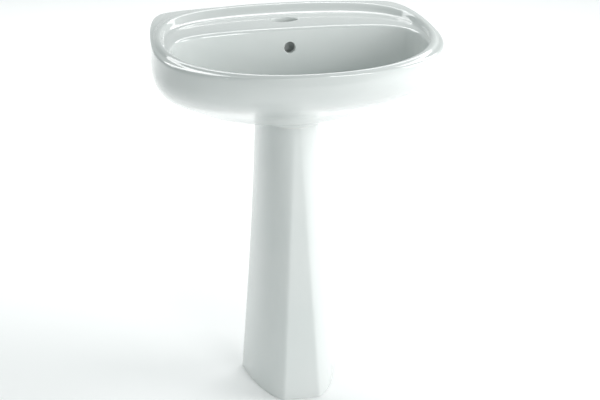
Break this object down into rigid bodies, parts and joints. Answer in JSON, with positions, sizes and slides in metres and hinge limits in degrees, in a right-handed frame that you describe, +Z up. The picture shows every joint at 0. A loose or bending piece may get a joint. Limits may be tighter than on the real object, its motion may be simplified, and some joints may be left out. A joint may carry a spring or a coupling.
{
  "type": "pedestal sink",
  "caption": "Wall-backed china wash basin on a hollow pedestal, with tap hole, overflow, push plug, bottle trap and wall fixings.",
  "frame": {"origin": "on the floor, midway between the sides and midway in depth, wall fixings included", "axes": "+Z up, +Y towards the wall, +X to the right of someone facing the basin"},
  "size_m": [0.6, 0.5341, 0.8507],
  "materials": {
    "china": "glossy white vitreous glaze",
    "soft_strip": "soft closed-cell foam",
    "chrome": "polished",
    "rubber": "matt black",
    "brass": "turned brass",
    "steel": "zinc plated",
    "white_plastic": "moulded white polypropylene",
    "grey_plastic": "moulded grey nylon"
  },
  "bodies": {
    "sink": {"basin": "china", "pedestal": "china", "bedding_strip": "soft_strip", "waste_body": "chrome", "waste_flange_seal": "rubber", "waste_under_washer": "rubber", "waste_backnut": "brass", "plug_cartridge": "grey_plastic", "plug_spring": "steel", "trap_inlet_seal": "rubber", "trap_inlet_tube": "white_plastic", "trap_inlet_nut": "white_plastic", "trap_body": "white_plastic", "trap_top_seal": "rubber", "trap_top_nut": "white_plastic", "trap_outlet_seal": "rubber", "trap_outlet_nut": "white_plastic", "outlet_pipe": "white_plastic", "wall_rosette": "white_plastic", "wall_plugs": "grey_plastic", "wall_studs": "steel", "fixing_bushes": "grey_plastic", "fixing_washers": "steel", "fixing_nuts": "steel"},
    "plug": {"plug_dome": "chrome", "plug_seal": "rubber", "plug_stem": "steel"},
    "cup_ring": {"trap_cup_seal": "rubber"},
    "cup": {"trap_cup": "white_plastic"}
  },
  "joints": [
    {"name": "plug_press", "type": "slide", "parent": "sink", "child": "plug", "axis": [0, 0, 1], "range_m": [-0.008, 0], "stiffness_N_per_m": 400, "springref_m": 0.002, "deforming": ["plug_spring"]},
    {"name": "cup_turn", "type": "hinge", "parent": "sink", "child": "cup_ring", "pos_m": [0, 0.013, 0.487], "axis": [0, 0, -1], "range_deg": [0, 1080]},
    {"name": "cup_drop", "type": "slide", "parent": "cup_ring", "child": "cup", "axis": [0, 0, -1], "range_m": [0, 0.009]}
  ],
  "couplings": [
    {"joint": "cup_drop", "follows": "cup_turn", "m_per_rad": 0.00047746}
  ]
}
